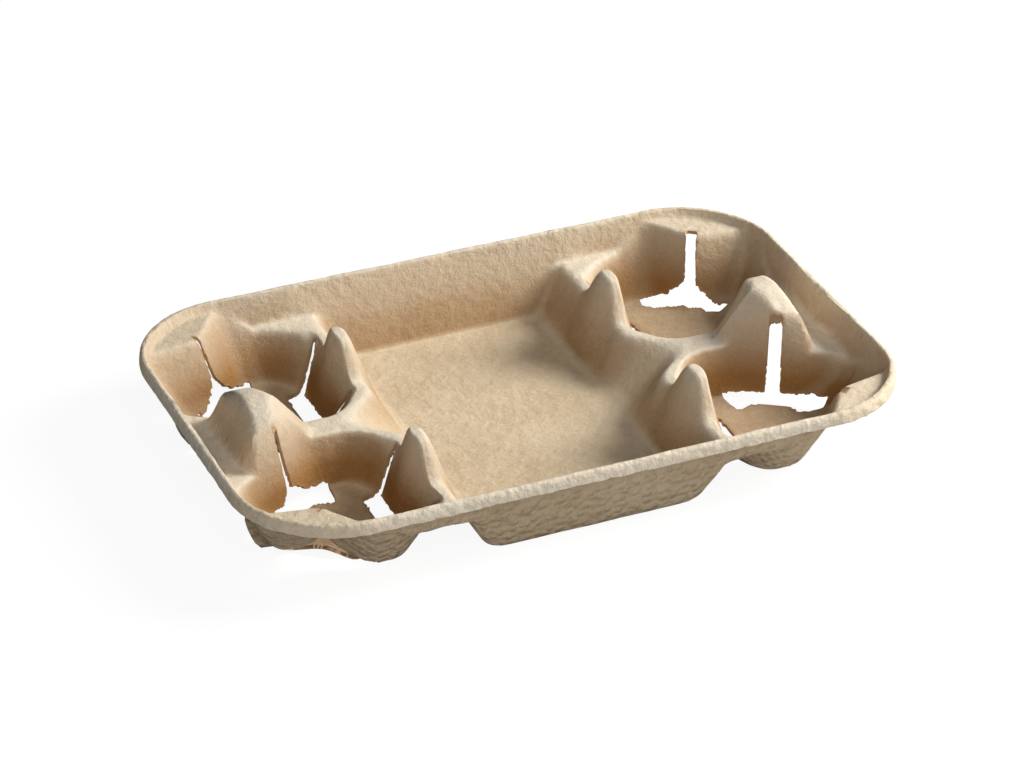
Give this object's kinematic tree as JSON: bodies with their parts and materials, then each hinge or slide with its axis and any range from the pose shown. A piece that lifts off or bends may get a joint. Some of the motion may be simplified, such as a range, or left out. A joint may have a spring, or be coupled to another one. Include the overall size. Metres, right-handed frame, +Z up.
{
  "type": "cup carrier tray",
  "caption": "Moulded-fibre takeaway cup carrier: cup pockets at both ends, slit at their corners, round a flat-floored food tray with a rolled rim.",
  "frame": {"origin": "centre of the food tray, on the plane the tray stands on", "axes": "+X along the long side, +Y along the short side, +Z up out of the pockets"},
  "size_m": [0.3742, 0.2452, 0.0556],
  "materials": {
    "carrier_tray": "matt, natural brown fibre"
  },
  "bodies": {
    "root": {"carrier_tray": "carrier_tray"}
  },
  "joints": []
}
